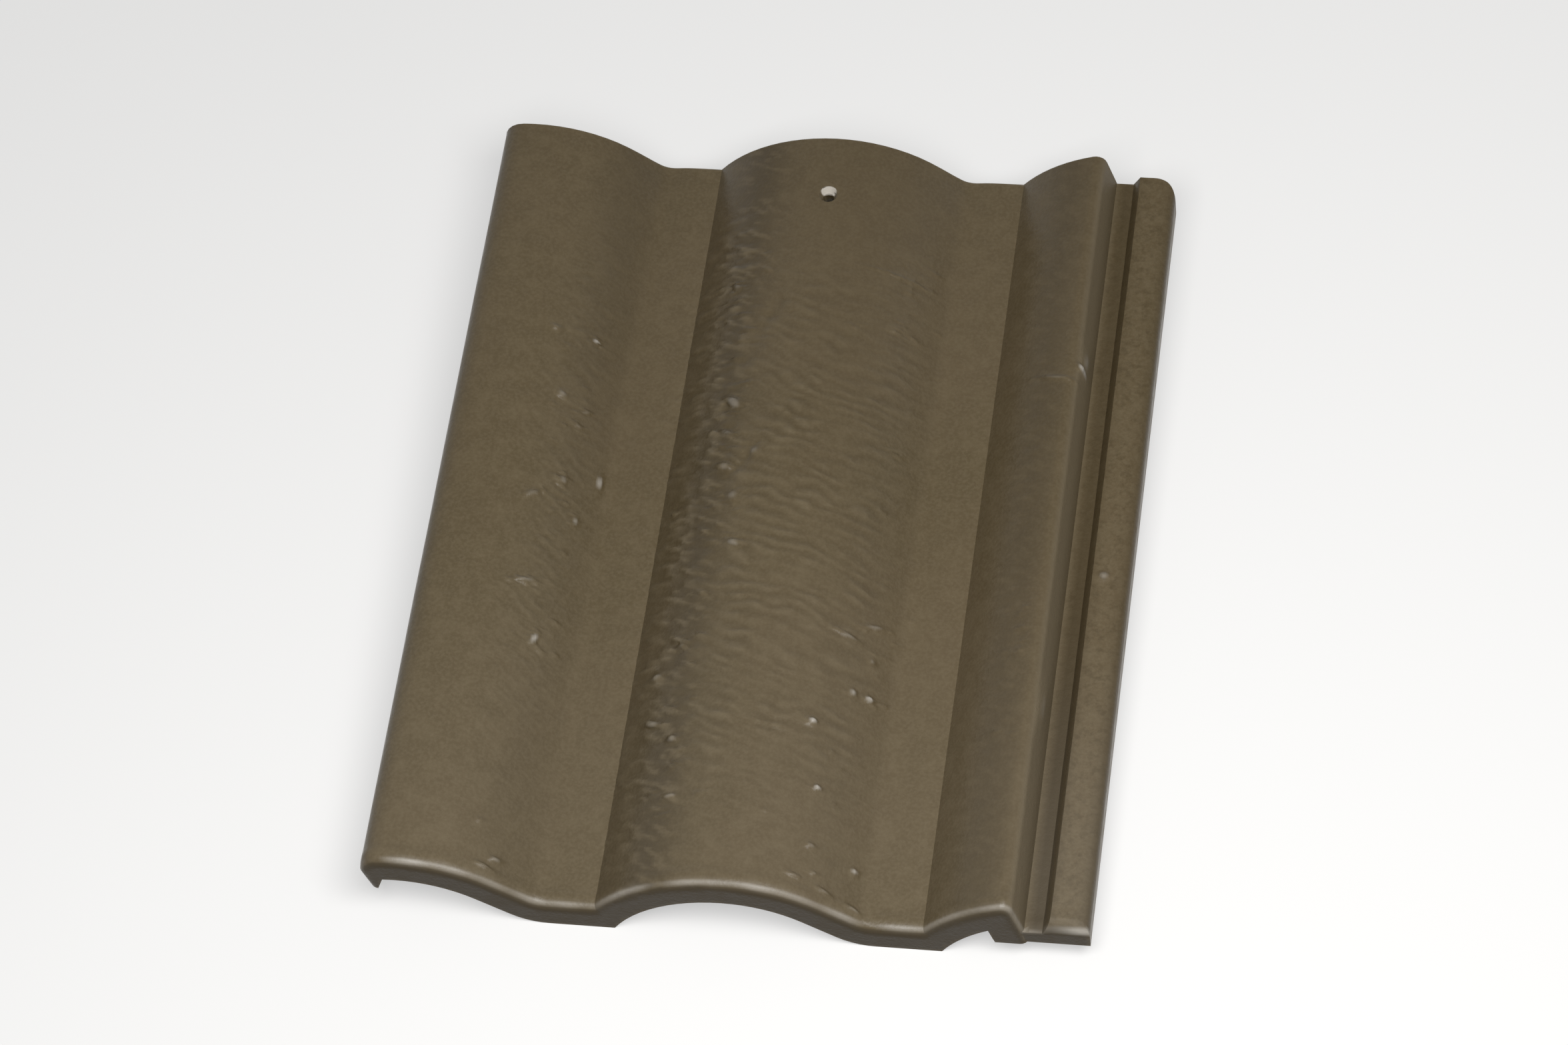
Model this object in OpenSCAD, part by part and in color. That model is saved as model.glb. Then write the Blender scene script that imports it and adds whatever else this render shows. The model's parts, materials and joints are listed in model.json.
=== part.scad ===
// Interlocking concrete roof tile with two rolls, one cast piece.
//
// The shell is lofted from head to nose through sections of one wave of arcs
// and straights, each taken at some depth below the upper face. The side
// flange, the nibs and the nail hole are then added to it.

/* [Cover] */
// Width that one tile covers on the roof
cover_w = 300; // [285:1:320]
// Length from nose to head
tile_l = 420; // [360:1:460]
// Thickness of the shell, square to its face
shell_t = 12; // [10:0.5:14]

/* [Rolls] */
// Height of a roll above the troughs
roll_h = 30; // [27:0.5:33]
// Slope at the foot of a roll's steep left side, in degrees
steep_a = 53; // [50:1:56]
// Slope of a roll's gentle right side, in degrees
gentle_a = 38; // [36:1:40]
// Radius of the crown on its gentle side
crown_r = 72; // [66:1:78]
// Radius where the gentle side runs into the trough
sweep_r = 14; // [10:1:20]

/* [Nose] */
// Radius of the rounded nose
nose_r = 4; // [2:0.5:4.5]
// Depth of the weather bars under the nose
bar_h = 3; // [2:0.5:4]
// Width of the bar at the nose
nose_bar_w = 8; // [6:0.5:12]
// Width of the second bar
back_bar_w = 6; // [4:0.5:8]
// Distance from the nose to the second bar
back_bar_at = 18; // [16:0.5:24]
// Length over which a bar slopes up to the shell
bar_draft = 1; // [0.5:0.1:1.5]

/* [Left lap] */
// Distance from the left edge to the crown of the left roll
edge_to_crown = 16; // [15:0.5:18]
// Radius of the left edge's top corner
edge_r = 11; // [9:0.5:12]
// Width of the lap leg's tip
leg_w = 4; // [3:0.5:4.5]
// How much wider the leg is at its root
leg_draft = 3; // [2:0.5:4]
// Clearance between the leg and the groove that it hangs in
lap_gap = 1.5; // [1:0.1:2]

/* [Right flange] */
// Width of the flange beyond the wall's foot
flange_w = 29.5; // [27:0.5:32]
// Slope of the wall above the flange, in degrees
wall_a = 76; // [73:1:79]
// Radius of the wall's top corner
wall_r = 5; // [5:0.5:6]
// Gap between the wall's top and the next tile's left edge
wall_gap = 3; // [2.5:0.1:4]
// Height of the groove's floor above the troughs
groove_z = 5; // [4:0.5:6]
// Width of the groove's floor
groove_w = 8; // [7:0.1:9]
// Height of the flange's rib above the groove's floor
rib_h = 6; // [4.5:0.5:7]
// Width that the rib's inner side takes
rib_draft = 3.5; // [2:0.1:4.5]
// Radius of the rib's outer edge
rib_r = 5; // [3:0.5:6]
// Radius of the flange's front edge
front_r = 6; // [4:0.5:7]
// Thickness of the flange under the groove
flange_t = 8; // [7:0.5:10]
// Setback of the flange behind the nose
flange_back = 1.5; // [1:0.5:6]
// Radius of the flange's corner at the head, in plan
corner_r = 11; // [7:0.5:14]

/* [Nibs] */
// Width of a nib
nib_w = 28; // [22:1:32]
// Depth of a nib below the troughs' underside
nib_h = 15; // [12:0.5:18]
// Distance from the head to the face that hooks on the batten
nib_at = 25; // [24:1:30]
// Length of a nib at its tip
nib_tip_l = 12; // [9:0.5:14]
// Length of a nib at its root
nib_root_l = 19; // [15:0.5:22]

/* [Nail hole] */
// Radius of the nail hole
nail_r = 2.5; // [2:0.1:3]
// Radius of the hole's rim
rim_r = 4.5; // [3.5:0.1:5.5]
// Depth of the tapered rim
rim_d = 3; // [1.5:0.1:4]
// Distance from the head to the nail hole
nail_at = 34; // [32:1:45]

/* [Hidden] */
$fn = 64;

eps = 0.01;     // overshoot of cutters past the faces they cut
embed = 2;      // how far below the troughs the nibs reach into the shell

// Steps in each stretch of the wave, and in the rounded nose
steep_n = 12;
crest_n = 8;
dip_n = 5;
left_n = 4;
corner_n = 5;
half_n = 9;
nose_n = 5;

// The wave, from foot to foot of two rolls
pitch = cover_w / 2;
steep_r = roll_h / (1 - cos(steep_a));
crown_x = steep_r * sin(steep_a);
straight_l = (roll_h - (crown_r + sweep_r) * (1 - cos(gentle_a))) / sin(gentle_a);
gentle_x = (crown_r + sweep_r) * sin(gentle_a) + straight_l * cos(gentle_a);
trough_l = pitch - crown_x - gentle_x;

left_foot = edge_to_crown - crown_x;    // the left roll is cut off before its foot
main_foot = left_foot + pitch;
half_foot = main_foot + pitch;

// Centres of the three steep arcs
left_c = [edge_to_crown, roll_h - steep_r];
main_c = left_c + [pitch, 0];
half_c = main_c + [pitch, 0];

// Left edge: an arc that touches the edge, and touches the steep arc from inside
edge_c = [edge_r, left_c.y + sqrt(pow(steep_r - edge_r, 2) - pow(edge_to_crown - edge_r, 2))];
edge_a = atan2(edge_c.y - left_c.y, edge_c.x - left_c.x);

// Right wall: it leans back from its foot on the groove's floor
lean = 1 / tan(wall_a);
foot = [cover_w - wall_gap + (roll_h - wall_r - groove_z) * lean, groove_z];
wall_n = [sin(wall_a), cos(wall_a)];    // outward normal
wall_up = [-cos(wall_a), sin(wall_a)];
flange_z = groove_z - flange_t;         // underside of the flange
rib_z = groove_z + rib_h;
tile_w = foot.x + flange_w;

// Lap leg: it hangs into the next tile's groove, along that tile's wall
tip_z = groove_z + lap_gap;
tip_x = foot.x - cover_w + lap_gap - (tip_z - groove_z) * lean;
bend_z = tip_z + tip_x / lean;
root_x = tip_x + leg_w + leg_draft;

// Rest on a level floor: on the nose's lower edge and the nibs' front edges
nose_low = -shell_t - bar_h;
nib_low = -shell_t - nib_h;
rest_a = atan2(nose_low - nib_low, tile_l - nib_at);
floor_z = nose_low * cos(rest_a);
rest_front = nose_r * cos(rest_a) - (roll_h - nose_r) * sin(rest_a) - nose_r;
rest_head = tile_l * cos(rest_a) + shell_t * sin(rest_a);

function on(c, r, a) = c + r * [cos(a), sin(a)];
function angle_of(p, c) = atan2(p.y - c.y, p.x - c.x);

// Points along an arc, without its first one
function arc(c, r, from, to, n) = [for (k = [1:n]) on(c, r, from + (to - from) * k / n)];

// Points along a straight, without its first one
function line(p, q, n) = [for (k = [1:n]) p + (q - p) * k / n];

// Angle at which a steep arc leaves the trough, at depth d below the face
function foot_angle(d) = 180 - asin((roll_h - steep_r + d) / (d - steep_r));

// Where the half roll's arc meets its wall, at depth d
function wall_point(d) =
    let(s = wall_n * (foot - half_c) - d)
    half_c + s * wall_n + sqrt(pow(steep_r - d, 2) - s * s) * wall_up;

// Lower end of the wall, at depth d
function wall_end(d) = [foot.x - d / sin(wall_a) + flange_t * lean, flange_z];

// A roll's gentle side from its crown, the trough, and the next roll's foot
function gentle_line(x, d) = let(crown = x + crown_x) concat(
    arc([crown, roll_h - crown_r], crown_r - d, 90, 90 - gentle_a, crest_n),
    [on([crown + gentle_x, sweep_r], sweep_r + d, 270 - gentle_a)],
    arc([crown + gentle_x, sweep_r], sweep_r + d, 270 - gentle_a, 270, dip_n),
    [on([x + pitch + crown_x, roll_h - steep_r], steep_r - d, foot_angle(d))]
);

// All of the section between the left crown and the half roll's foot
function middle_line(d) = concat(
    gentle_line(left_foot, d),
    arc(main_c, steep_r - d, foot_angle(d), 90, steep_n),
    gentle_line(main_foot, d)
);

// Upper side of the section, from the leg's tip to the wall's end
function upper_line(d) = let(top_a = angle_of(wall_point(wall_r), half_c)) concat(
    [[tip_x + d, tip_z], [d, bend_z], [d, edge_c.y]],
    arc(edge_c, edge_r - d, 180, edge_a, corner_n),
    arc(left_c, steep_r - d, edge_a, 90, left_n),
    middle_line(d),
    arc(half_c, steep_r - d, foot_angle(d), top_a, half_n),
    arc(wall_point(wall_r), wall_r - d, top_a, 90 - wall_a, corner_n),
    [wall_end(d)]
);

// Lower side of the section, with as many points as the upper side
function lower_line(d) = let(
    root_a = 90 + asin((edge_to_crown - root_x) / (steep_r - d)),
    inner = wall_point(d)
) concat(
    [[tip_x + leg_w, tip_z], on(left_c, steep_r - d, root_a)],
    arc(left_c, steep_r - d, root_a, 90, 1 + corner_n + left_n),
    middle_line(d),
    arc(half_c, steep_r - d, foot_angle(d), angle_of(inner, half_c), half_n),
    line(inner, wall_end(d), corner_n + 1)
);

// Sections of the loft: [distance from the head, depth of the upper side, depth of the lower side]
bar_t = shell_t + bar_h;
stations = concat(
    [
        [0, 0, shell_t],
        [tile_l - back_bar_at - back_bar_w - bar_draft, 0, shell_t],
        [tile_l - back_bar_at - back_bar_w, 0, bar_t],
        [tile_l - back_bar_at, 0, bar_t],
        [tile_l - back_bar_at + bar_draft, 0, shell_t],
        [tile_l - nose_bar_w - bar_draft, 0, shell_t],
        [tile_l - nose_bar_w, 0, bar_t]
    ],
    [for (k = [0:nose_n]) let(a = 90 * k / nose_n)
        [tile_l - nose_r * (1 - sin(a)), nose_r * (1 - cos(a)), bar_t]]
);

// Closed loft through the stations: each ring is an upper and a lower line
module shell() {
    rings = [for (st = stations) concat(
        [for (p = upper_line(st[1])) [p.x, p.y, st[0]]],
        [for (p = lower_line(st[2])) [p.x, p.y, st[0]]]
    )];
    n = len(rings[0]) / 2;
    last = len(rings) - 1;
    function up(r, k) = r * 2 * n + k;
    function low(r, k) = up(r, k) + n;
    quads = concat(
        [for (r = [0:last - 1], k = [0:n - 2]) each [
            [up(r, k), up(r, k + 1), up(r + 1, k + 1), up(r + 1, k)],
            [low(r, k), low(r + 1, k), low(r + 1, k + 1), low(r, k + 1)]
        ]],
        [for (r = [0:last - 1]) each [
            [up(r, 0), up(r + 1, 0), low(r + 1, 0), low(r, 0)],
            [up(r + 1, n - 1), up(r, n - 1), low(r, n - 1), low(r + 1, n - 1)]
        ]],
        [for (k = [0:n - 2]) each [
            [up(0, k + 1), up(0, k), low(0, k), low(0, k + 1)],
            [up(last, k), up(last, k + 1), low(last, k + 1), low(last, k)]
        ]]
    );
    polyhedron(
        points = [for (ring = rings) each ring],
        faces = [for (q = quads) each [[q[0], q[1], q[2]], [q[0], q[2], q[3]]]],
        convexity = 8
    );
}

// Flange that the next tile's left edge lies over
module flange() {
    inner_x = foot.x - shell_t / 2;
    front = tile_l - flange_back;
    intersection() {
        linear_extrude(front) {
            polygon([
                [inner_x, flange_z], [tile_w, flange_z], [tile_w, rib_z - rib_r],
                [tile_w - rib_r, rib_z - rib_r], [tile_w - rib_r, rib_z],
                [foot.x + groove_w + rib_draft, rib_z], [foot.x + groove_w, groove_z],
                [inner_x, groove_z]
            ]);
            translate([tile_w - rib_r, rib_z - rib_r]) circle(rib_r);
        }
        // side view, with the rounded front edge
        translate([inner_x, 0, 0]) rotate([90, 0, 90]) linear_extrude(tile_w - inner_x) {
            translate([flange_z, 0]) square([rib_z - flange_z, front - front_r]);
            translate([flange_z, 0]) square([rib_z - flange_z - front_r, front]);
            translate([rib_z - front_r, front - front_r]) circle(front_r);
        }
    }
}

// What is cut off to round the flange's corner at the head
module flange_corner()
    translate([tile_w - corner_r, rib_z + eps, corner_r])
        rotate([90, 0, 0]) linear_extrude(rib_z - flange_z + 2 * eps)
            difference() {
                translate([0, -corner_r - eps]) square(corner_r + eps);
                circle(corner_r);
            }

// Nib under the trough in front of the roll whose foot is at x: it hooks over the batten
module nib(x)
    translate([x - (trough_l + nib_w) / 2, 0, 0]) rotate([90, 0, 90]) linear_extrude(nib_w)
        polygon([
            [-embed, nib_at - nib_root_l], [-embed, nib_at], [nib_low, nib_at],
            [nib_low, nib_at - nib_tip_l], [-shell_t, nib_at - nib_root_l]
        ]);

module nail_hole()
    translate([main_c.x, roll_h, nail_at]) rotate([-90, 0, 0]) {
        translate([0, 0, -2 * shell_t]) cylinder(h = 3 * shell_t, r = nail_r);
        translate([0, 0, -rim_d]) cylinder(h = rim_d + eps, r1 = nail_r, r2 = rim_r);
    }

// The tile in the section's axes: x across, y up, z from the head to the nose
module tile_body()
    difference() {
        union() {
            shell();
            flange();
            nib(main_foot);
            nib(half_foot);
        }
        flange_corner();
        nail_hole();
    }

module roof_tile()
    color("#665a46")
        translate([-tile_w / 2, -(rest_front + rest_head) / 2, -floor_z])
            rotate([rest_a, 0, 0]) translate([0, tile_l, 0]) rotate([90, 0, 0]) tile_body();

roof_tile();
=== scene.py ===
"""The looks of a concrete roof tile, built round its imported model. Blender 4.5, metres."""

import json
import math
import random

import bpy
import numpy as np
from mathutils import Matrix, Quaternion, Vector, noise


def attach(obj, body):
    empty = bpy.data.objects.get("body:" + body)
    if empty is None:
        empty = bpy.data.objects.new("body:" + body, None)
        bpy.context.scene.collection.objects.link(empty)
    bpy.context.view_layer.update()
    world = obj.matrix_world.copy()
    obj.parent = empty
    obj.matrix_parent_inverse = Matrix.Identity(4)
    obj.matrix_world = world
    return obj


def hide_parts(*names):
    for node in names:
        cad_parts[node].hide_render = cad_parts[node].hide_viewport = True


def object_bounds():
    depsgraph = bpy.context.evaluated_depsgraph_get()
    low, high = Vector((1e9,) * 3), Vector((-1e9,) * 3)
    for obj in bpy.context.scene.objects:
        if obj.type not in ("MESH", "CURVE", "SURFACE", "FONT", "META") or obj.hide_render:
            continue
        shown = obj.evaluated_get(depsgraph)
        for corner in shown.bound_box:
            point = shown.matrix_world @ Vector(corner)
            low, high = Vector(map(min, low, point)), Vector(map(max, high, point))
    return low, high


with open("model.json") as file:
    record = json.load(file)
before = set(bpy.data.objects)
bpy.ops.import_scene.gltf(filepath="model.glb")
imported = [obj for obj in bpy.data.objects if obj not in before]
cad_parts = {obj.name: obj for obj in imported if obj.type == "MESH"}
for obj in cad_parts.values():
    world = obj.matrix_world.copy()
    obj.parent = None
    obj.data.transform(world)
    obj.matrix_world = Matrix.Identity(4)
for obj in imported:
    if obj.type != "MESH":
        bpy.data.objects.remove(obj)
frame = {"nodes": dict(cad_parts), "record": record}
cad_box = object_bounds()
MM = 0.001

# ---------------------------------------------------------------- The tile
# One casting of fine concrete. It is extruded as a ribbon on a steel pallet,
# which shapes its underside, cut to length and pressed at the nose, then
# coated while it is still damp and cured. Nothing is fixed to it.

# It lies on its nose's lower edge and its nibs, so its face rises towards the
# head: how high the nibs lift it, and how far they are from that edge
NIB_DROP = 12 * MM
NIB_REACH = 395 * MM
slope = math.atan2(NIB_DROP, NIB_REACH)
down_slope = Vector((0, -math.cos(slope), -math.sin(slope)))
face_up = Vector((0, -math.sin(slope), math.cos(slope)))
across = Vector((1, 0, 0))

# The mesh's cells: their width, their height on the sides and their length,
# and in how many parts the rows in view are divided again
COLUMN = 2.5 * MM
LAYER = 1.8 * MM
ROW = 5 * MM
ROW_PARTS = 4
# What counts as one place and as one flat face, and how short an edge and how
# thin a face may be left
SAME_PLACE = 0.001 * MM
FLAT = math.radians(0.05)
SHORTEST = 0.5 * MM
THINNEST = 0.25 * MM
# How a face leans: 1 faces up from the tile, 0 is a side and -1 faces down.
# A side leans less than SIDE_LEAN either way, what is in view leans more than
# VIEW_LEAN, and the upper skin is all there from TOP_LEAN on.
SIDE_LEAN = 0.5
VIEW_LEAN = -0.3
TOP_LEAN = 0.3

cad_tile = frame["nodes"]["roof_tile"]
tile = bpy.data.objects.new("coated_tile", cad_tile.data.copy())
bpy.context.scene.collection.objects.link(tile)
bpy.ops.object.select_all(action="DESELECT")
bpy.context.view_layer.objects.active = tile
tile.select_set(True)

bpy.ops.mesh.customdata_custom_splitnormals_clear()
bpy.ops.object.mode_set(mode="EDIT")
bpy.ops.mesh.select_all(action="SELECT")
bpy.ops.mesh.remove_doubles(threshold=SAME_PLACE)
bpy.ops.mesh.dissolve_limited(angle_limit=FLAT)
bpy.ops.mesh.remove_doubles(threshold=SHORTEST)


def vectors(items, kind):
    """A mesh's places or normals as rows of three numbers."""
    values = np.empty(len(items) * 3)
    items.foreach_get(kind, values)
    return values.reshape(-1, 3)


def hide_all_but(least, most):
    """Leaves in reach only the faces whose lean is between the two values."""
    bpy.ops.object.mode_set(mode="OBJECT")
    lean = vectors(tile.data.polygons, "normal") @ face_up
    tile.data.polygons.foreach_set("hide", (lean < least) | (lean > most))
    bpy.ops.object.mode_set(mode="EDIT")


def cut(direction, spacing):
    """Cuts the faces in reach by parallel planes, which follow edges that are near."""
    reach = vectors(tile.data.vertices, "co") @ direction
    first, last = reach.min(), reach.max()
    count = round((last - first) / spacing)
    for step in range(1, count):
        place = first + (last - first) * step / count
        bpy.ops.mesh.select_all(action="SELECT")
        bpy.ops.mesh.bisect(
            plane_co=direction * place, plane_no=direction, threshold=spacing / 2
        )


# The whole mesh is cut into columns, its sides into layers and all into rows
cut(across, COLUMN)
hide_all_but(-SIDE_LEAN, SIDE_LEAN)
cut(face_up, LAYER)
bpy.ops.mesh.reveal(select=False)
cut(down_slope, ROW)
bpy.ops.mesh.select_all(action="SELECT")
bpy.ops.mesh.dissolve_degenerate(threshold=THINNEST)

# The rows in view are divided again, by their edges along the slope
bpy.ops.mesh.select_mode(type="EDGE")
bpy.ops.mesh.select_all(action="DESELECT")
bpy.ops.object.mode_set(mode="OBJECT")
lean = vectors(tile.data.polygons, "normal") @ face_up
in_view = set()
for face in tile.data.polygons:
    if lean[face.index] > VIEW_LEAN:
        in_view.update(face.edge_keys)
for edge in tile.data.edges:
    start, end = (tile.data.vertices[v].co for v in edge.vertices)
    run = abs((end - start).dot(down_slope))
    edge.select = edge.key in in_view and run > ROW / 2
bpy.ops.object.mode_set(mode="EDIT")
bpy.ops.mesh.subdivide(number_cuts=ROW_PARTS - 1)
bpy.ops.object.mode_set(mode="OBJECT")

# Places on the section, in mm from the left edge, a trough's width, and the
# tile's length
PITCH = 150
LEFT_CROWN = 16
MAIN_FOOT = 105.8
MAIN_CROWN = LEFT_CROWN + PITCH
HALF_FOOT = MAIN_FOOT + PITCH
HALF_CROWN = 288
TROUGH = 24
WALL_FOOT = 302
LENGTH = 420

# Slurry that the plate drags along sets as short ridges across the rolls:
# how many, their middle across, its spread, the first row, the last row and
# their half width. The ranges give each one its share of that width, its half
# length, its turn and its height.
DRAGS = (
    (46, MAIN_FOOT + 28, 8, 60, 385, 3.2),
    (26, LEFT_CROWN + 41, 9, 115, 300, 2.2),
    (12, MAIN_CROWN + 42, 11, 62, 120, 2.6),
    (12, MAIN_CROWN + 49, 7, 255, 310, 2.2),
    (10, HALF_CROWN - 3, 4, 240, 330, 1.8),
    (12, MAIN_CROWN + 40, 14, 320, 405, 1.1),
)
DRAG_SHARE = (0.5, 1.2)
DRAG_LENGTH = (0.8, 1.3)
DRAG_TURN = (-10, 30)
DRAG_HEIGHT = (0.15, 0.45)
# Single ridges and beads: across, row, half width, half length, turn in
# degrees towards the nose and height. SWELL makes every height larger, for
# the ridges too.
BEADS = (
    (128, 85, 3.0, 1.8, 35, 0.8),
    (136, 155, 4.6, 2.2, 48, 1.25),
    (135, 172, 4.4, 1.6, 30, 0.8),
    (137, 192, 3.2, 2.2, 25, 0.8),
    (150, 184, 2.8, 2.8, 0, 0.85),
    (143, 209, 3.4, 3.0, 25, 0.85),
    (147, 236, 3.8, 2.2, 20, 1.05),
    (130, 290, 2.6, 1.8, 0, 0.7),
    (120, 304, 3.2, 3.0, 0, 0.95),
    (122, 330, 3.8, 1.8, 20, 1.15),
    (133, 341, 3.0, 2.0, 0, 1.0),
    (135, 356, 2.6, 2.0, 0, 0.6),
    (137, 372, 3.4, 1.7, 0, 1.1),
    (150, 372, 2.2, 1.6, 0, 0.5),
    (216, 267, 5.0, 1.6, -22, 0.95),
    (206, 277, 4.6, 1.6, 12, 0.9),
    (217, 285, 1.8, 2.4, 0, 0.6),
    (211, 305, 1.8, 2.6, 0, 0.8),
    (218, 305, 1.8, 1.8, 0, 1.2),
    (196, 327, 1.8, 1.7, 0, 1.15),
    (206, 339, 1.8, 1.6, 0, 0.5),
    (202, 360, 1.7, 1.6, 0, 1.15),
    (203, 390, 2.4, 1.8, 0, 0.9),
    (222, 394, 1.8, 2.0, 0, 0.9),
    (198, 407, 3.4, 1.2, 12, 0.7),
    (211, 410, 3.6, 1.3, 16, 0.8),
    (224, 413, 3.8, 1.3, 20, 0.9),
    (206, 403, 1.6, 1.3, 0, 0.6),
    (56, 411, 4.2, 1.2, 14, 0.8),
    (215, 171, 3.2, 1.2, 0, 0.4),
    (204, 73, 12.0, 1.0, 0, 0.4),
    (62, 117, 1.9, 1.9, 0, 0.9),
    (44, 117, 2.8, 1.6, 0, 0.6),
    (52, 153, 2.3, 2.2, 0, 1.05),
    (63, 158, 3.4, 1.4, -25, 0.7),
    (61, 167, 2.6, 1.4, 20, 0.7),
    (74, 192, 1.8, 5.0, 0, 0.85),
    (59, 199, 2.2, 2.6, 0, 0.9),
    (47, 212, 4.6, 1.6, -35, 0.8),
    (67, 218, 1.8, 3.4, 0, 0.7),
    (51, 259, 5.4, 1.6, -18, 0.95),
    (59, 288, 1.8, 4.6, 18, 0.9),
    (51, 389, 2.2, 1.6, 0, 0.5),
    (60, 406, 2.6, 1.6, 0, 1.1),
    (298, 123, 1.9, 2.0, 0, 1.2),
    (299, 116, 1.3, 8.0, 3, 0.7),
    (287, 130, 9.0, 1.2, 14, 0.7),
    (299, 308, 1.3, 15.0, 2, 0.6),
    (285, 270, 3.0, 1.6, 0, 0.5),
    (286, 282, 2.4, 2.2, 0, 0.5),
    (319, 231, 2.7, 2.4, 0, 1.2),
)
TALLEST = 1.25
SWELL = 1.45
chance = random.Random(7)
drops = list(BEADS)
for count, middle, spread, first, last, size in DRAGS:
    for _ in range(count):
        drops.append(
            (
                chance.gauss(middle, spread),
                chance.uniform(first, last),
                size * chance.uniform(*DRAG_SHARE),
                chance.uniform(*DRAG_LENGTH),
                chance.uniform(*DRAG_TURN),
                chance.uniform(*DRAG_HEIGHT),
            )
        )

corners = vectors(tile.data.vertices, "co")
left_edge = (corners @ across).min()
head_edge = (corners @ down_slope).min()


def on_tile(points):
    """Where points are on the tile: mm across from its left edge, and mm down from its head."""
    return (points @ across - left_edge) / MM, (points @ down_slope - head_edge) / MM


def bead_distance(column, row, bead):
    """How far places are from a bead's middle, where 1 is its own outline."""
    middle, place, half_width, half_length, turn, _ = bead
    turn = math.radians(turn)
    right, down = column - middle, row - place
    long_way = right * math.cos(turn) + down * math.sin(turn)
    short_way = down * math.cos(turn) - right * math.sin(turn)
    return np.hypot(long_way / half_width, short_way / half_length)


# The mesh is finer under the ridges, and finer still under the single beads:
# in how many parts a face is divided, and how far out from a bead's middle
for beads, parts, reach in ((drops[len(BEADS) :], 2, 1.5), (BEADS, 3, 1.8)):
    bpy.ops.object.mode_set(mode="EDIT")
    bpy.ops.mesh.select_mode(type="FACE")
    bpy.ops.mesh.select_all(action="DESELECT")
    bpy.ops.object.mode_set(mode="OBJECT")
    column, row = on_tile(vectors(tile.data.polygons, "center"))
    lean = vectors(tile.data.polygons, "normal") @ face_up
    under = np.zeros(len(column), bool)
    for bead in beads:
        under |= bead_distance(column, row, bead) < reach
    tile.data.polygons.foreach_set("select", under & (lean > TOP_LEAN))
    bpy.ops.object.mode_set(mode="EDIT")
    bpy.ops.mesh.subdivide(number_cuts=parts - 1)
    bpy.ops.object.mode_set(mode="OBJECT")

SHARP = math.radians(28)
bpy.ops.object.select_all(action="DESELECT")
tile.select_set(True)
bpy.ops.object.shade_smooth_by_angle(angle=SHARP)

# Where each vertex is on the tile before its skin is shaped: across it, down
# the slope, and how it leans
places = vectors(tile.data.vertices, "co")
column, row = on_tile(places)
lean = vectors(tile.data.vertices, "normal") @ face_up


def rise(value, start, end):
    """A smooth step from 0 at start to 1 at end."""
    share = np.clip((value - start) / (end - start), 0, 1)
    return share * share * (3 - 2 * share)


def band(value, middle, reach):
    """A soft band, 1 in its middle and near 0 at twice its reach."""
    return np.exp(-(((value - middle) / reach) ** 2))


def bands(table):
    """The sum of bands down the whole tile: the most, middle and reach of each."""
    return sum(most * band(column, middle, reach) for most, middle, reach in table)


def strips(table):
    """The sum of bands that end: the most, middle and reach of each, the rows where it
    rises, those where it fades, and the share that it has lost by then."""
    total = np.zeros(len(places))
    for most, middle, reach, rises, fades, lost in table:
        strip = most * band(column, middle, reach) * rise(row, *rises)
        total += strip * (1 - lost * rise(row, *fades))
    return total


def lumps(wide, long, seed, slant=0.0):
    """Smooth noise from -1 to 1: lumps so many mm wide and long, which slant to the nose."""
    along = row - slant * column
    return np.array(
        [noise.noise((c / wide, a / long, seed)) for c, a in zip(column, along)]
    )


LEAST_WEIGHT = 0.01


def raise_skin(name, height, weights, direction="NORMAL"):
    """Lifts the skin by height times each vertex's weight, or sinks it if negative."""
    group = tile.vertex_groups.new(name=name)
    for vertex in np.flatnonzero(weights > LEAST_WEIGHT):
        group.add([int(vertex)], float(min(weights[vertex], 1)), "REPLACE")
    lift = tile.modifiers.new(name, "DISPLACE")
    lift.vertex_group = name
    lift.direction = direction
    lift.mid_level = 0
    lift.strength = height
    bpy.ops.object.modifier_apply(modifier=name)


# The skin is the upper side, up to where it turns into the sides
skin = rise(lean, 0.0, TOP_LEAN)

# The ribbon sags a little between its supports as it sets
SAG = 0.35 * MM
raise_skin("sag", -SAG, skin * (0.5 + 0.5 * lumps(55, 80, 3)))

# The smoothing plate chatters as it runs over the rolls, and leaves ripples.
# Their lines run in a bow from the steep flank down to the gentle one, and
# wander and break up.
RIPPLE_HEIGHT = 1.3 * MM
RIPPLE_PITCH = 6.6
RIPPLE_BOW = 0.0028
RIPPLE_SHARPNESS = 1.3
RIPPLED = (
    (0.75, MAIN_FOOT + 20, 18),
    (0.75, MAIN_CROWN, 28),
    (0.45, MAIN_CROWN + 42, 14),
    (0.4, LEFT_CROWN + 38, 18),
    (0.2, HALF_FOOT + 18, 10),
)
trail = np.minimum(column - (MAIN_CROWN + 54), 0)
bowed = row + RIPPLE_BOW * trail**2
phase = bowed / RIPPLE_PITCH + 1.1 * lumps(40, 26, 11) + 0.5 * lumps(11, 9, 12)
ripple = (0.5 + 0.5 * np.cos(2 * math.pi * phase)) ** RIPPLE_SHARPNESS
on_rolls = bands(RIPPLED)
on_length = rise(row, 45, 150) * (1 - 0.7 * rise(row, 318, 392))
patches = 0.3 + 0.7 * rise(lumps(16, 20, 21), -0.3, 0.3)
broken = 0.15 + 0.85 * rise(lumps(6, 5.5, 24, slant=0.4), -0.3, 0.25)
rippled = ripple * on_rolls * on_length * patches * broken
raise_skin("ripples", RIPPLE_HEIGHT, skin * rippled)

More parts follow.
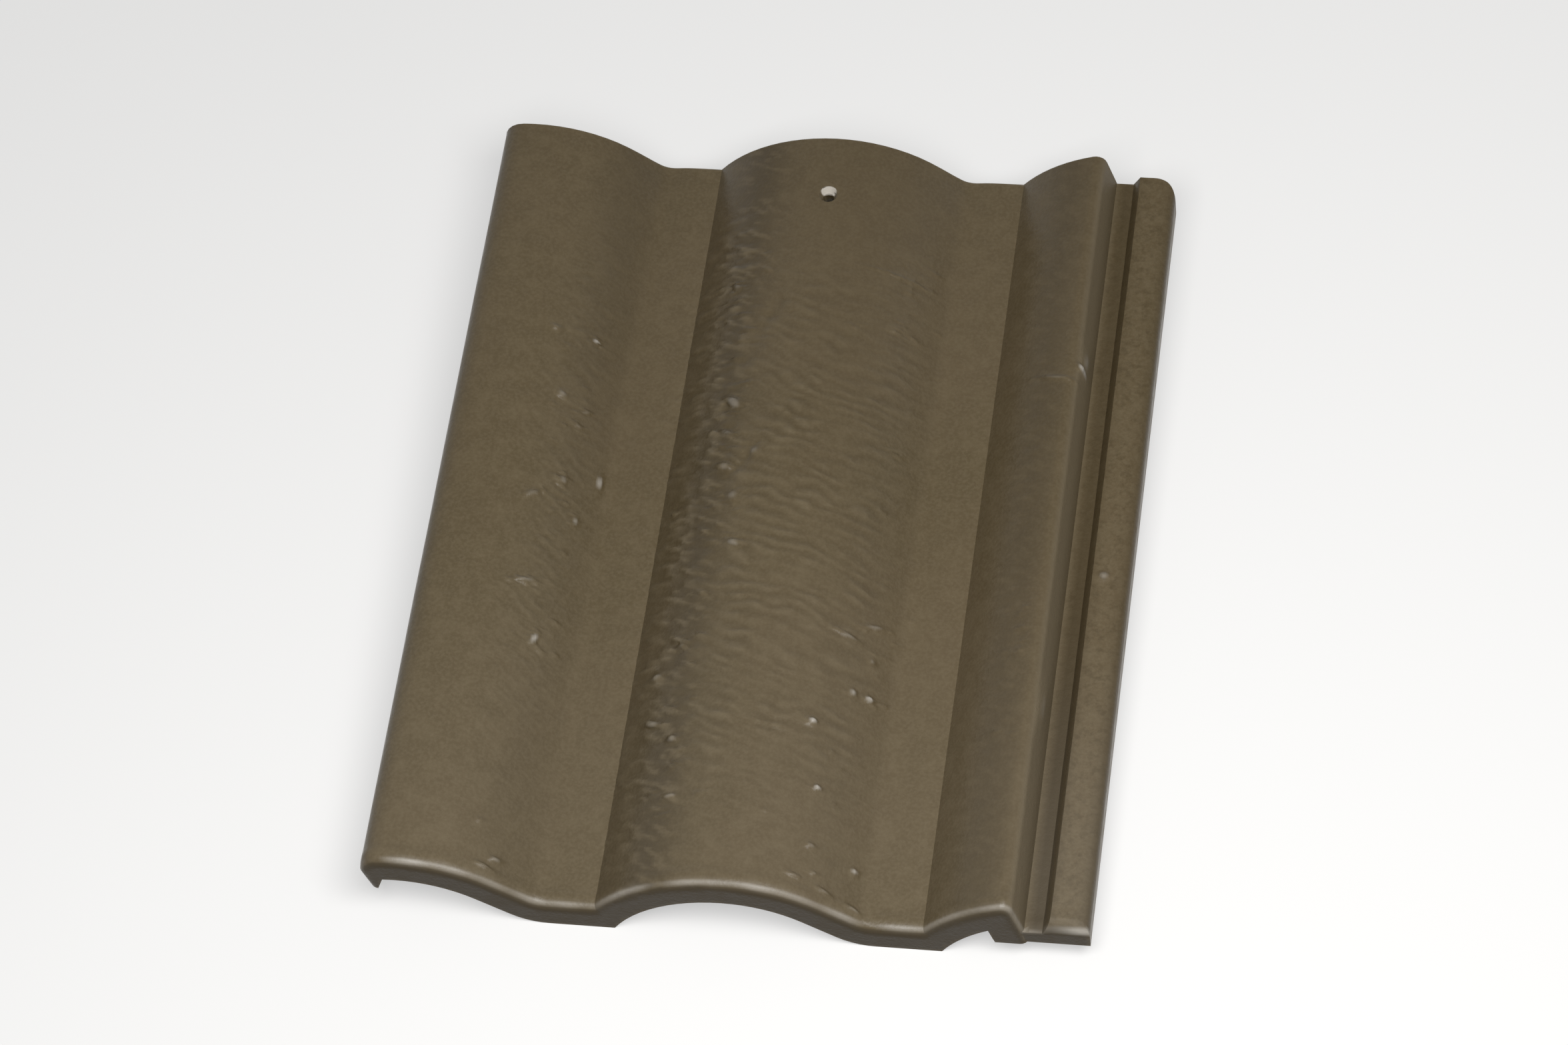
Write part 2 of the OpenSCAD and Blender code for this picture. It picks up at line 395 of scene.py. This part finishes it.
# Where the plate drags on the flanks and, a little, over the main roll, the
# skin crinkles into short ridges
CRINKLE_HEIGHT = 0.7 * MM
CRINKLE_NARROWNESS = 2.6
CRINKLED = (
    (1.0, MAIN_FOOT + 17, 11, (30, 60), (130, 190), 1),
    (0.45, MAIN_CROWN + 45, 12, (40, 70), (150, 220), 1),
    (0.55, LEFT_CROWN + 44, 14, (20, 90), (300, 350), 1),
    (0.25, HALF_FOOT + 13, 9, (10, 40), (210, 280), 1),
    (0.25, MAIN_CROWN, 40, (30, 90), (300, 380), 1),
)
crinkle = np.clip(1 - CRINKLE_NARROWNESS * np.abs(lumps(7, 3.2, 51)), 0, 1)
crinkled = strips(CRINKLED)
raise_skin("crinkles", CRINKLE_HEIGHT, skin * crinkle * crinkled)

# On the steep flanks it smears the skin into short slanting lumps
SMEAR_HEIGHT = 0.95 * MM
SMEARED = (
    (1.0, MAIN_FOOT + 15, 15, (25, 60), (370, 410), 0.5),
    (0.12, HALF_FOOT + 14, 12, (10, 60), (370, 410), 0),
)
smear = rise(lumps(7, 3.4, 55, slant=0.6), 0.0, 0.35)
smeared = strips(SMEARED) * (0.5 + 0.5 * rise(lumps(22, 26, 56), -0.3, 0.3))
raise_skin("smears", SMEAR_HEIGHT, skin * smear * smeared)

# Grit caught under the plate scores the steep flank, and the gentle one once:
# a start and an end, each across and down, and the score's depth
SCORES = (
    (152, 95, 135, 140, 0.9),
    (149, 96, 132, 141, 0.5),
    (150, 180, 138, 202, 0.9),
    (142, 54, 140, 68, 0.5),
    (208, 320, 204, 352, 0.4),
)
SCORE_WIDTH = 2.3
DEEPEST = 0.9
scored = np.zeros(len(places))
wander = 1.6 * lumps(13, 13, 71)
for from_column, from_row, to_column, to_row, depth in SCORES:
    run = np.array((to_column - from_column, to_row - from_row), float)
    away = np.stack((column + wander - from_column, row - from_row))
    share = np.clip(run @ away / (run @ run), 0, 1)
    gap = np.hypot(*(away - run[:, None] * share))
    scored = np.maximum(scored, depth / DEEPEST * np.exp(-((gap / SCORE_WIDTH) ** 2)))
scored *= 0.65 + 0.7 * lumps(9, 8, 72)
raise_skin("scores", -DEEPEST * MM, skin * scored)

# The beads and ridges that the mesh was refined for. Their tops get a painted
# highlight: full on the narrow ones, which stand up like grains, a little on the broad ones.
GRAIN_WIDTH = 2.0
GRAIN_HIGHLIGHT = 1.0
BROAD_HIGHLIGHT = 0.3
blobs = np.zeros(len(places))
bead_highlight = np.zeros(len(places))
for bead in drops:
    blob = bead[-1] / TALLEST * np.exp(-(bead_distance(column, row, bead) ** 2))
    blobs = np.maximum(blobs, blob)
    bead_highlight_share = GRAIN_HIGHLIGHT if bead[2] < GRAIN_WIDTH else BROAD_HIGHLIGHT
    bead_highlight = np.maximum(bead_highlight, bead_highlight_share * rise(blob, 0.3, 0.85))
raise_skin("drags", SWELL * TALLEST * MM, skin * blobs)

# The knife that cuts the ribbon drags the troughs' edges down at the head.
# The nibs, which hang lower than NIB_TOP, stay where they are.
FLARE_DEPTH = 1.4 * MM
FLARE_LENGTH = 26
FLARE_REACH = 9
NIB_TOP = 9 * MM
flared = (1 - rise(row, 0, FLARE_LENGTH)) * rise(places[:, 2], NIB_TOP, NIB_DROP) * (
    band(column, MAIN_FOOT - TROUGH - 6, FLARE_REACH)
    + band(column, HALF_FOOT - TROUGH - 6, FLARE_REACH)
)
raise_skin("flare", -FLARE_DEPTH, flared, direction="Z")

# The coat runs to the nose and stands there in a lumpy bead
NOSE_BEAD_HEIGHT = 0.8 * MM
short_of_flange_edge = 1 - rise(column, WALL_FOOT + 18, WALL_FOOT + 24)
nose_bead = band(row, LENGTH - 6.5, 2.6) * (0.75 + 0.5 * lumps(9, 30, 31))
raise_skin("nose_bead", NOSE_BEAD_HEIGHT, skin * nose_bead * short_of_flange_edge, direction="Z")

# The flange isn't smoothed by the plate, so its concrete stays a little coarse
COARSE_DEPTH = 0.3 * MM
on_flange = rise(column, WALL_FOOT - 4, WALL_FOOT + 2) * rise(lean, 0.4, 0.9)
coarse = 0.5 + 0.35 * lumps(3.5, 4.5, 41) + 0.4 * lumps(9, 14, 42)
inside = short_of_flange_edge * rise(row, 5, 14) * (1 - rise(row, LENGTH - 16, LENGTH - 8))
raise_skin("coarse_flange", -COARSE_DEPTH, on_flange * inside * np.clip(coarse, 0, 1))

# How much of the coat lies on each place: all of it on the face, the nose and
# the side edges, little on the cut head and none on the underside
BARE_AT_HEAD = 0.85
facing = vectors(tile.data.vertices, "normal")
to_nose = facing @ down_slope
coated = np.maximum(rise(lean, -0.35, -0.05), rise(to_nose, 0.3, 0.6))
coated *= 1 - BARE_AT_HEAD * rise(-to_nose, 0.6, 0.85)

# A painted highlight along the nose's edge, and painted light that makes the skin
# a little paler towards the nose, more so on the flange. With the beads' tops they share one
# pale grey.
NOSE_WARD_LIGHT = 0.04
FLANGE_NOSE_WARD_LIGHT = 0.05
nose_edge_highlight = band(row, LENGTH - 2.4, 1.2) * (0.5 + 0.9 * lumps(16, 30, 61))
nose_ward_light = NOSE_WARD_LIGHT * rise(row, 180, 400)
nose_ward_light += FLANGE_NOSE_WARD_LIGHT * on_flange * rise(row, 250, 400)
painted_highlight = skin * np.max((bead_highlight, nose_edge_highlight, nose_ward_light), axis=0)

# Painted light: the crests of what the plate left are painted paler, and so is
# the wall, which the plate rubs as it passes and leaves rough
RIPPLE_CREST = 0.6
CRINKLE_CREST = 0.45
SMEAR_CREST = 0.5
crest_light = RIPPLE_CREST * rippled + CRINKLE_CREST * crinkle * crinkled
crest_light = skin * np.clip(crest_light + SMEAR_CREST * smear * smeared, 0, 1)
on_wall = band(column, WALL_FOOT - 3, 4) * rise(facing @ across, 0.4, 0.8)
crest_light = np.maximum(crest_light, on_wall)

# Painted shade: darker in the groove beside the wall, along the flange's outer
# edge, on the steep flanks between the smears, on the nose's face and, a
# little, in scores, in hollows and on the rolls, most near the head
SHADED_GROOVE_AND_EDGE = ((0.85, WALL_FOOT + 6, 5.5), (0.4, WALL_FOOT + 28, 4))
# Each flank's most, how much less there is on a smear, and its middle
SHADED_FLANKS = ((0.58, 0.5, MAIN_FOOT + 24), (0.5, 0.15, HALF_FOOT + 24))
FLANK_REACH = 14
SCORE_SHADE = 0.35
HOLLOW_SHADE = 0.4
SHADED_ROLLS = ((0.22, MAIN_CROWN + 20, 42), (0.3, LEFT_CROWN + 50, 15))
groove_shade = bands(SHADED_GROOVE_AND_EDGE) * (0.8 + 0.5 * rise(row, 120, 380))
flank_shade = sum(
    band(column, middle, FLANK_REACH) * (most - less * smear)
    for most, less, middle in SHADED_FLANKS
)
hollows = (1 - ripple) * on_rolls * on_length * patches
painted_shade = np.max((groove_shade, flank_shade, SCORE_SHADE * scored, HOLLOW_SHADE * hollows), axis=0)
painted_shade += bands(SHADED_ROLLS) * (1 - 0.6 * rise(row, 100, 240))
painted_shade = np.maximum(skin * np.minimum(painted_shade, 1), rise(to_nose, 0.55, 0.9))

# The material takes each share from the mesh, by its name
for name, share in (
    ("coat", coated),
    ("coarse", np.maximum(on_flange, on_wall)),
    ("crest_light", crest_light),
    ("painted_shade_share", painted_shade),
    ("painted_highlight", painted_highlight),
):
    layer = tile.data.attributes.new(name, "FLOAT", "POINT")
    layer.data.foreach_set("value", share)

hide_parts("roof_tile")
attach(tile, "root")


def linear(code):
    """The linear colour of an sRGB hex code."""
    shares = [int(code[i : i + 2], 16) / 255 for i in (1, 3, 5)]
    return tuple(
        s / 12.92 if s <= 0.04045 else ((s + 0.055) / 1.055) ** 2.4 for s in shares
    ) + (1.0,)


def add(tree, kind, settings, links=None):
    """Adds a node. A setting in lower case is the node's own, others are inputs."""
    made = tree.nodes.new(kind)
    for name, value in settings.items():
        if isinstance(name, str) and name[0].islower():
            setattr(made, name, value)
        else:
            made.inputs[name].default_value = value
    for name, source in (links or {}).items():
        tree.links.new(source, made.inputs[name])
    return made


# A mix node's inputs, which are a share and two numbers or two colours, and
# its output for colours. The one for numbers is its first.
SHARE = 0
NUMBER_A = 2
NUMBER_B = 3
COLOUR_A = 6
COLOUR_B = 7
COLOUR_OUT = 2

# Acrylic-coated concrete: a thin satin film of umber paint over sand and
# cement. The colour is even, the sand shows through as fine pimples that
# break the shine up, and the flange, which is rougher, looks mottled.
# Bare concrete: the same mix without the film, paler, matt and pitted with
# small air holes where it lay on the steel pallet.
COAT_DEEP = "#584c35"
COAT_MID = "#5d503a"
COAT_PALE = "#6a5e48"
# A paler umber for the painted light on crests and the wall
CREST_LIGHT_PAINT = "#776b55"
# A dark umber, both for the flange's real stain and for painted shade
STAIN_AND_SHADE = "#3c311c"
# A pale grey for the painted highlights and painted light
HIGHLIGHT_PAINT = "#a8a298"
BARE_DEEP = "#6a6257"
BARE_PALE = "#8b8273"
# Near white for the painted highlight in the nail hole's chip
CHIP_HIGHLIGHT_PALE = "#c2bbb0"
# Each pattern's name, size, detail and roughness
PATTERNS = (
    ("cloud", 120 * MM, 2, 0.5),
    ("blotch", 9 * MM, 3, 0.55),
    ("sand", 1.7 * MM, 2, 0.6),
    ("coarse", 4 * MM, 4, 0.65),
)
AIR_HOLE = 5 * MM

material = bpy.data.materials.new("acrylic_coated_concrete")
material.use_nodes = True
tree = material.node_tree
tree.nodes.clear()
place = add(tree, "ShaderNodeTexCoord", {}).outputs["Object"]
coat = add(tree, "ShaderNodeAttribute", {"attribute_name": "coat"}).outputs["Fac"]
rough = add(tree, "ShaderNodeAttribute", {"attribute_name": "coarse"}).outputs["Fac"]
patterns = {}
for name, size, detail, roughness in PATTERNS:
    patterns[name] = add(
        tree,
        "ShaderNodeTexNoise",
        {"Scale": 1 / size, "Detail": detail, "Roughness": roughness},
        {"Vector": place},
    ).outputs["Fac"]
holes = add(
    tree,
    "ShaderNodeTexVoronoi",
    {"Scale": 1 / AIR_HOLE, "Randomness": 1.0},
    {"Vector": place},
).outputs["Distance"]

# The nail hole's rim is chipped on the side of the head, where the coat came
# off with it, and the chip is painted near white as a painted highlight on that
# wall. The gradient falls from 1 in the chip's middle to 0 at twice its half
# size, so it is 0.5 at the chip's own edge.
CHIP = (3.6 * MM, 2.7 * MM, 4 * MM)
CHIP_SHIFT = 2.0 * MM
HOLE_MIDDLE_DEPTH = 7.5 * MM
CHIP_OUTER_EDGE = 0.42
CHIP_INNER_EDGE = 0.5
nail_hole = next(m for m in frame["record"]["mounts"] if m["name"] == "nail_hole")
chip_middle = Vector(nail_hole["pos_m"]) + face_up * HOLE_MIDDLE_DEPTH - down_slope * CHIP_SHIFT
around = add(
    tree,
    "ShaderNodeMapping",
    {
        "vector_type": "TEXTURE",
        "Location": chip_middle,
        "Scale": tuple(2 * size for size in CHIP),
    },
    {"Vector": place},
).outputs[0]
near = add(
    tree, "ShaderNodeTexGradient", {"gradient_type": "SPHERICAL"}, {"Vector": around}
).outputs["Fac"]
chip_and_highlight = add(
    tree,
    "ShaderNodeMapRange",
    {
        "From Min": CHIP_OUTER_EDGE,
        "From Max": CHIP_INNER_EDGE,
        "To Min": 0.0,
        "To Max": 1.0,
    },
    {"Value": near},
).outputs["Result"]
kept = add(
    tree, "ShaderNodeMath", {"operation": "SUBTRACT", 0: 1.0}, {1: chip_and_highlight}
).outputs[0]
coat = add(tree, "ShaderNodeMath", {"operation": "MULTIPLY"}, {0: coat, 1: kept}).outputs[0]

# The film's colour: a slow cloud, blotches where it lies thinner, and the
# sand's tips, which are a shade paler. Each layer's colour, its pattern, the
# pattern's values where it starts and is full, and its most.
LAYERS = (
    (COAT_MID, "cloud", 0.35, 0.65, 1.0),
    (COAT_PALE, "blotch", 0.45, 0.75, 0.45),
    (COAT_PALE, "sand", 0.4, 0.65, 0.5),
)
blend = {"data_type": "RGBA"}
film = None
for shade, pattern, start, full, most in LAYERS:
    amount = add(
        tree,
        "ShaderNodeMapRange",
        {"From Min": start, "From Max": full, "To Min": 0.0, "To Max": most},
        {"Value": patterns[pattern]},
    ).outputs["Result"]
    colours = {COLOUR_A: linear(COAT_DEEP), COLOUR_B: linear(shade)}
    links = {SHARE: amount} if film is None else {SHARE: amount, COLOUR_A: film}
    film = add(tree, "ShaderNodeMix", {**blend, **colours}, links).outputs[COLOUR_OUT]

# The coat gathers dark between the coarse sand of the flange and the wall
STAIN_START = 0.48
STAIN_FULL = 0.66
STAIN_MOST = 0.4
stain = add(
    tree,
    "ShaderNodeMapRange",
    {"From Min": STAIN_START, "From Max": STAIN_FULL, "To Min": 0.0, "To Max": STAIN_MOST},
    {"Value": patterns["coarse"]},
).outputs["Result"]
stain = add(tree, "ShaderNodeMath", {"operation": "MULTIPLY"}, {0: stain, 1: rough}).outputs[0]
film = add(
    tree,
    "ShaderNodeMix",
    {**blend, COLOUR_B: linear(STAIN_AND_SHADE)},
    {SHARE: stain, COLOUR_A: film},
).outputs[COLOUR_OUT]

# Painted light, painted shade and painted highlights, by the shares on the mesh
for shade, name in ((CREST_LIGHT_PAINT, "crest_light"), (STAIN_AND_SHADE, "painted_shade_share"), (HIGHLIGHT_PAINT, "painted_highlight")):
    amount = add(tree, "ShaderNodeAttribute", {"attribute_name": name}).outputs["Fac"]
    film = add(
        tree,
        "ShaderNodeMix",
        {**blend, COLOUR_B: linear(shade)},
        {SHARE: amount, COLOUR_A: film},
    ).outputs[COLOUR_OUT]

# The bare concrete's colour, and which of the two shows where
bare = add(
    tree,
    "ShaderNodeMix",
    {**blend, COLOUR_A: linear(BARE_DEEP), COLOUR_B: linear(BARE_PALE)},
    {SHARE: patterns["coarse"]},
).outputs[COLOUR_OUT]
# The chip on the nail hole's rim, painted near white as a highlight
bare = add(
    tree,
    "ShaderNodeMix",
    {**blend, COLOUR_B: linear(CHIP_HIGHLIGHT_PALE)},
    {SHARE: chip_and_highlight, COLOUR_A: bare},
).outputs[COLOUR_OUT]
colour = add(
    tree, "ShaderNodeMix", blend, {SHARE: coat, COLOUR_A: bare, COLOUR_B: film}
).outputs[COLOUR_OUT]

# The film is satin, a little duller in the blotches, and nearly matt on the
# coarse flange and wall
SATIN_ROUGHNESS = 0.3
DULL_ROUGHNESS = 0.42
DULL_START = 0.35
DULL_FULL = 0.7
COARSE_ROUGHNESS = 0.6
BARE_ROUGHNESS = 0.9
satin = add(
    tree,
    "ShaderNodeMapRange",
    {
        "From Min": DULL_START,
        "From Max": DULL_FULL,
        "To Min": SATIN_ROUGHNESS,
        "To Max": DULL_ROUGHNESS,
    },
    {"Value": patterns["blotch"]},
).outputs["Result"]
film_dullness = add(
    tree, "ShaderNodeMix", {NUMBER_B: COARSE_ROUGHNESS}, {SHARE: rough, NUMBER_A: satin}
).outputs[0]
dullness = add(
    tree, "ShaderNodeMix", {NUMBER_A: BARE_ROUGHNESS}, {SHARE: coat, NUMBER_B: film_dullness}
).outputs[0]

# Sand pimples everywhere, coarser ones on the flange and the wall, and pits
# where it's bare
SAND_HEIGHT = 0.15 * MM
COARSE_HEIGHT = 0.3 * MM
PIT_DEPTH = 0.6 * MM
PIT_SHARE = 0.22
relief = add(
    tree, "ShaderNodeBump", {"Distance": SAND_HEIGHT}, {"Height": patterns["sand"]}
).outputs[0]
relief = add(
    tree,
    "ShaderNodeBump",
    {"Distance": COARSE_HEIGHT},
    {"Strength": rough, "Height": patterns["coarse"], "Normal": relief},
).outputs[0]
pits = add(
    tree,
    "ShaderNodeMapRange",
    {"From Min": PIT_SHARE / 2, "From Max": PIT_SHARE, "To Min": 0.0, "To Max": 1.0},
    {"Value": holes},
).outputs["Result"]
pitted = add(
    tree, "ShaderNodeMath", {"operation": "SUBTRACT", 0: 1.0}, {1: coat}
).outputs[0]
relief = add(
    tree,
    "ShaderNodeBump",
    {"Distance": PIT_DEPTH},
    {"Strength": pitted, "Height": pits, "Normal": relief},
).outputs[0]

# The sand breaks the film up, so it mirrors less than a whole one would
FILM_IOR = 1.49
FILM_MIRROR = 0.2
surface = add(
    tree,
    "ShaderNodeBsdfPrincipled",
    {"IOR": FILM_IOR, "Specular IOR Level": FILM_MIRROR},
    {"Base Color": colour, "Roughness": dullness, "Normal": relief},
)
add(tree, "ShaderNodeOutputMaterial", {}, {"Surface": surface.outputs[0]})
tile.data.materials.clear()
tile.data.materials.append(material)

# ---------------------------------------------------------------- The stage
# A pale floor, a wide lamp above the nose and an even sky. None of it belongs
# to the tile. The floor shows paler than it lights the tile, and from below it
# can be looked through.
FLOOR_SIZE = 8.0
FLOOR = "#b4b3b1"
FLOOR_GLOW = 0.5
FLOOR_BOUNCE = "#7d7b78"


def direct_rays(tree):
    """1 for the rays that show the stage itself: seen, mirrored, or through glass."""
    path = add(tree, "ShaderNodeLightPath", {})
    seen = path.outputs["Is Camera Ray"]
    for ray in ("Is Glossy Ray", "Is Transmission Ray"):
        either = {0: seen, 1: path.outputs[ray]}
        seen = add(tree, "ShaderNodeMath", {"operation": "MAXIMUM"}, either).outputs[0]
    return seen


bpy.ops.mesh.primitive_plane_add(size=FLOOR_SIZE)
floor = bpy.context.active_object
floor.name = "floor"
paint = bpy.data.materials.new("pale_floor")
paint.use_nodes = True
tree = paint.node_tree
tree.nodes.clear()
pale = add(tree, "ShaderNodeBsdfDiffuse", {"Color": linear(FLOOR)})
glow = add(tree, "ShaderNodeEmission", {"Strength": FLOOR_GLOW})
shown = add(tree, "ShaderNodeAddShader", {}, {0: pale.outputs[0], 1: glow.outputs[0]})
bounce = add(tree, "ShaderNodeBsdfDiffuse", {"Color": linear(FLOOR_BOUNCE)})
top = add(
    tree,
    "ShaderNodeMixShader",
    {},
    {0: direct_rays(tree), 1: bounce.outputs[0], 2: shown.outputs[0]},
)
clear = add(tree, "ShaderNodeBsdfTransparent", {})
side = add(tree, "ShaderNodeNewGeometry", {})
both = add(
    tree,
    "ShaderNodeMixShader",
    {},
    {0: side.outputs["Backfacing"], 1: top.outputs[0], 2: clear.outputs[0]},
)
add(tree, "ShaderNodeOutputMaterial", {}, {"Surface": both.outputs[0]})
floor.data.materials.append(paint)

# The sky lights the tile evenly and shows as white
SKY = "#ffffff"
SKY_LIGHT = 0.12
SKY_SHOWN = 1.0
world = bpy.data.worlds.new("even_sky")
bpy.context.scene.world = world
world.use_nodes = True
tree = world.node_tree
tree.nodes.clear()
sky = add(tree, "ShaderNodeBackground", {"Color": linear(SKY), "Strength": SKY_LIGHT})
backdrop = add(tree, "ShaderNodeBackground", {"Color": linear(SKY), "Strength": SKY_SHOWN})
seen = add(
    tree,
    "ShaderNodeMixShader",
    {},
    {0: direct_rays(tree), 1: sky.outputs[0], 2: backdrop.outputs[0]},
)
add(tree, "ShaderNodeOutputWorld", {}, {"Surface": seen.outputs[0]})

# The lamp lights the nose and leaves the steep flanks in soft shade
LAMP_PLACE = (0.25, -0.58, 1.12)
LAMP_AIM = (0, -0.05, 0.02)
LAMP_WIDTH = 1.0
LAMP_DEPTH = 0.5
LAMP_POWER = 17.0
bpy.ops.object.light_add(type="AREA", location=LAMP_PLACE)
lamp = bpy.context.active_object
lamp.data.shape = "RECTANGLE"
lamp.data.size = LAMP_WIDTH
lamp.data.size_y = LAMP_DEPTH
lamp.data.energy = LAMP_POWER
lamp.rotation_euler = (Vector(LAMP_AIM) - Vector(LAMP_PLACE)).to_track_quat("-Z", "Y").to_euler()

# The camera looks down on the nose from the right, with its own small roll
CAMERA_TURN = math.radians(15.0)
CAMERA_RISE = math.radians(54.4)
CAMERA_ROLL = math.radians(-8.85)
CAMERA_AWAY = 2.58
CAMERA_LENS = 126

low, high = cad_box
aim = (Vector(low) + Vector(high)) / 2
back = Vector(
    (
        math.sin(CAMERA_TURN) * math.cos(CAMERA_RISE),
        -math.cos(CAMERA_TURN) * math.cos(CAMERA_RISE),
        math.sin(CAMERA_RISE),
    )
)
bpy.ops.object.camera_add(location=aim + back * CAMERA_AWAY)
camera = bpy.context.active_object
level = (-back).to_track_quat("-Z", "Y")
camera.rotation_mode = "QUATERNION"
camera.rotation_quaternion = level @ Quaternion((0, 0, 1), CAMERA_ROLL)
camera.data.lens = CAMERA_LENS
bpy.context.scene.camera = camera
bpy.context.scene.view_settings.view_transform = "Standard"
